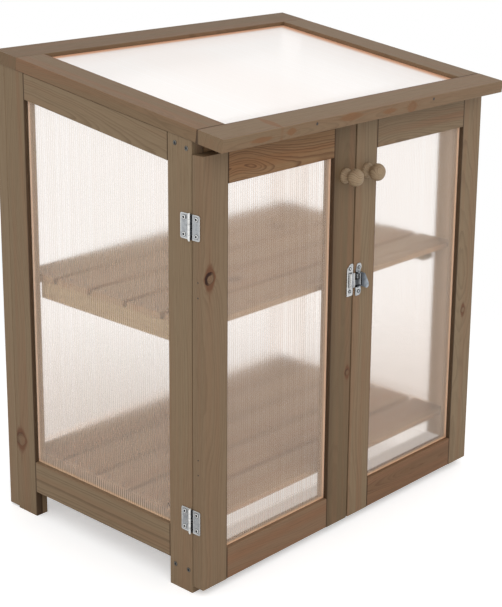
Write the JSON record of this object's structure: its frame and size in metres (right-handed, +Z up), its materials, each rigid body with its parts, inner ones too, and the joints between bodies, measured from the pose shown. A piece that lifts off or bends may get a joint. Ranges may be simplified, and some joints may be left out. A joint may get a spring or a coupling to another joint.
{
  "type": "wooden mini greenhouse",
  "caption": "Small stained pine greenhouse cabinet on four posts with translucent fluted panels, double doors with turned knobs and a latch, slatted shelves and a sloping glazed lid.",
  "frame": {"origin": "on the floor, below the middle of the outline that the lid and the back hinges bound", "axes": "+X to the right seen from the front, +Y from the doors to the back, +Z up"},
  "size_m": [0.6896, 0.509, 0.7811],
  "materials": {
    "stained_timber": "grey-brown stained pine, planed, matt",
    "shelf_timber": "grey-brown stained pine slats, planed, matt",
    "fluted_sheet": "translucent milky sheet with fine upright flutes",
    "zinc_fittings": "bright zinc plate"
  },
  "bodies": {
    "cabinet": {"left_side_front_post": "stained_timber", "left_side_rear_post": "stained_timber", "left_side_top_rail": "stained_timber", "left_side_bottom_rail": "stained_timber", "left_side_sheet": "fluted_sheet", "right_side_front_post": "stained_timber", "right_side_rear_post": "stained_timber", "right_side_top_rail": "stained_timber", "right_side_bottom_rail": "stained_timber", "right_side_sheet": "fluted_sheet", "back_left_stile": "stained_timber", "back_right_stile": "stained_timber", "back_top_rail": "stained_timber", "back_bottom_rail": "stained_timber", "back_sheet": "fluted_sheet", "front_top_rail": "stained_timber", "front_bottom_rail": "stained_timber", "middle_shelf_slat_1": "shelf_timber", "middle_shelf_slat_2": "shelf_timber", "middle_shelf_slat_3": "shelf_timber", "middle_shelf_slat_4": "shelf_timber", "middle_shelf_slat_5": "shelf_timber", "middle_shelf_left_batten": "shelf_timber", "middle_shelf_right_batten": "shelf_timber", "bottom_shelf": "shelf_timber", "left_lower_hinge_post_leaf": "zinc_fittings", "left_upper_hinge_post_leaf": "zinc_fittings", "right_lower_hinge_post_leaf": "zinc_fittings", "right_upper_hinge_post_leaf": "zinc_fittings", "left_lid_hinge_frame_leaf": "zinc_fittings", "right_lid_hinge_frame_leaf": "zinc_fittings"},
    "left_door": {"left_door_hinge_stile": "stained_timber", "left_door_meeting_stile": "stained_timber", "left_door_top_rail": "stained_timber", "left_door_bottom_rail": "stained_timber", "left_door_sheet": "fluted_sheet", "left_knob": "stained_timber", "left_lower_hinge_door_leaf": "zinc_fittings", "left_upper_hinge_door_leaf": "zinc_fittings", "latch_keeper": "zinc_fittings"},
    "right_door": {"right_door_hinge_stile": "stained_timber", "right_door_meeting_stile": "stained_timber", "right_door_top_rail": "stained_timber", "right_door_bottom_rail": "stained_timber", "right_door_sheet": "fluted_sheet", "right_knob": "stained_timber", "right_lower_hinge_door_leaf": "zinc_fittings", "right_upper_hinge_door_leaf": "zinc_fittings", "latch_base": "zinc_fittings"},
    "lid": {"lid_front_rail": "stained_timber", "lid_rear_rail": "stained_timber", "lid_left_rail": "stained_timber", "lid_right_rail": "stained_timber", "lid_sheet": "fluted_sheet", "left_lid_hinge_lid_leaf": "zinc_fittings", "right_lid_hinge_lid_leaf": "zinc_fittings"},
    "latch_lever": {"latch_lever": "zinc_fittings"},
    "latch_catch": {"latch_catch": "zinc_fittings"}
  },
  "joints": [
    {"name": "left_door_swing", "type": "hinge", "parent": "cabinet", "child": "left_door", "pos_m": [-0.3423, -0.18881, 0.3465], "axis": [0, 0, -1], "range_deg": [0, 170]},
    {"name": "right_door_swing", "type": "hinge", "parent": "cabinet", "child": "right_door", "pos_m": [0.3423, -0.18881, 0.3465], "axis": [0, 0, 1], "range_deg": [0, 170]},
    {"name": "lid_lift", "type": "hinge", "parent": "cabinet", "child": "lid", "pos_m": [0, 0.25199, 0.76131], "axis": [-1, 0, 0], "range_deg": [0, 105]},
    {"name": "latch_lever_turn", "type": "hinge", "parent": "right_door", "child": "latch_lever", "pos_m": [0.007, -0.21841, 0.425], "axis": [0, 0, -1], "range_deg": [0, 110]},
    {"name": "latch_catch_turn", "type": "hinge", "parent": "latch_lever", "child": "latch_catch", "pos_m": [0.0125, -0.21801, 0.425], "axis": [0, 0, -1], "range_deg": [-110, 0]}
  ],
  "couplings": [
    {"joint": "latch_catch_turn", "follows": "latch_lever_turn", "ratio": -1}
  ]
}
